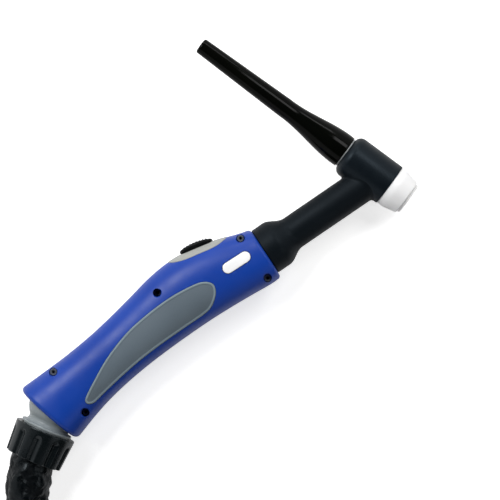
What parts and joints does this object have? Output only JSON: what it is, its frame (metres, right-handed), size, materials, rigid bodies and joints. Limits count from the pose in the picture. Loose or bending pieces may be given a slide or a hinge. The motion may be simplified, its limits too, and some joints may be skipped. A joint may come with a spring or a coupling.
{
  "type": "tig torch",
  "caption": "TIG welding torch with a long back cap, angled rubber neck, two-shell handle with push switch, ball joint and a coiled hose in a leather cover with a central plug.",
  "frame": {"origin": "mouth of the collet-body thread, on the head's axis, in the head's front face", "axes": "+X out of the thread along the head's axis; +Z square to the plane that holds head, neck and handle, pointing away from the surface the torch lies on; the handle's two shells meet in the plane z = 0"},
  "size_m": [0.4952, 0.5271, 0.0551],
  "materials": {
    "brass": "machined",
    "head_rubber": "matte moulded",
    "insulator": "smooth white",
    "seal": "smooth",
    "cap": "moulded",
    "shell": "fine moulded texture",
    "inlay": "soft touch",
    "badge": "smooth white",
    "screw": "blackened",
    "switch_housing": "smooth",
    "button": "ribbed",
    "black_plastic": "moulded",
    "lead": "smooth",
    "ball": "smooth light grey",
    "collar": "moulded",
    "leather": "wrinkled black hose cover",
    "bare_steel": "turned"
  },
  "bodies": {
    "hose": {"hose_lead": "leather", "hose_coil": "leather", "hose_tail": "leather", "plug_boot": "lead", "plug_housing": "black_plastic", "plug_contact": "brass", "plug_pins": "bare_steel", "plug_seal": "lead"},
    "plug_nut": {"plug_nut": "black_plastic"},
    "ball": {"ball_joint": "ball"},
    "clamp": {"clamp_ring": "black_plastic"},
    "collar": {"collar_nut": "collar"},
    "torch": {"head_body": "brass", "neck_tube": "brass", "head_cover": "head_rubber", "insulator": "insulator", "shell_left": "shell", "shell_right": "shell", "inlay_left": "inlay", "inlay_right": "inlay", "badge": "badge", "handle_screws": "screw", "switch_housing": "switch_housing", "micro_switch": "black_plastic", "switch_lead": "lead", "cable_nut": "brass", "cable_ferrule": "brass", "power_cable": "lead", "cable_bush": "lead"},
    "button": {"switch_button": "button"},
    "plunger": {"switch_plunger": "black_plastic"},
    "cap_seal": {"cap_seal": "seal"},
    "back_cap": {"back_cap": "cap"}
  },
  "joints": [
    {"name": "hose_swivel", "type": "hinge", "parent": "hose", "child": "ball", "pos_m": [-0.08172, -0.23254, 0], "axis": [0.225, -0.9744, 0], "range_deg": [-90, 90]},
    {"name": "ball_swing", "type": "hinge", "parent": "ball", "child": "torch", "pos_m": [-0.08172, -0.23254, 0], "axis": [0, 0, 1], "range_deg": [-4, 37.5]},
    {"name": "clamp_slide", "type": "slide", "parent": "ball", "child": "clamp", "axis": [0.225, -0.9744, 0], "range_m": [0, 0.005]},
    {"name": "collar_turn", "type": "hinge", "parent": "clamp", "child": "collar", "pos_m": [-0.08172, -0.23254, 0], "axis": [0.225, -0.9744, 0], "range_deg": [0, 720]},
    {"name": "button_press", "type": "slide", "parent": "torch", "child": "button", "axis": [0.8554, -0.518, 0], "range_m": [0, 0.0012], "stiffness_N_per_m": 600, "springref_m": -0.001},
    {"name": "plunger_press", "type": "slide", "parent": "torch", "child": "plunger", "axis": [0.8554, -0.518, 0], "range_m": [0, 0.0012]},
    {"name": "cap_slide", "type": "slide", "parent": "torch", "child": "cap_seal", "axis": [-1, 0, 0], "range_m": [0, 0.01]},
    {"name": "cap_turn", "type": "hinge", "parent": "cap_seal", "child": "back_cap", "pos_m": [-0.03, 0, 0], "axis": [-1, 0, 0], "range_deg": [0, 2880]},
    {"name": "plug_nut_turn", "type": "hinge", "parent": "hose", "child": "plug_nut", "pos_m": [0.32081, -0.10851, 0.0037], "axis": [-0.1065, 0.9943, 0], "continuous": true}
  ],
  "couplings": [
    {"joint": "plunger_press", "follows": "button_press", "ratio": 1},
    {"joint": "cap_turn", "follows": "cap_slide", "rad_per_m": 5021.5},
    {"joint": "collar_turn", "follows": "clamp_slide", "rad_per_m": 2510.8}
  ]
}
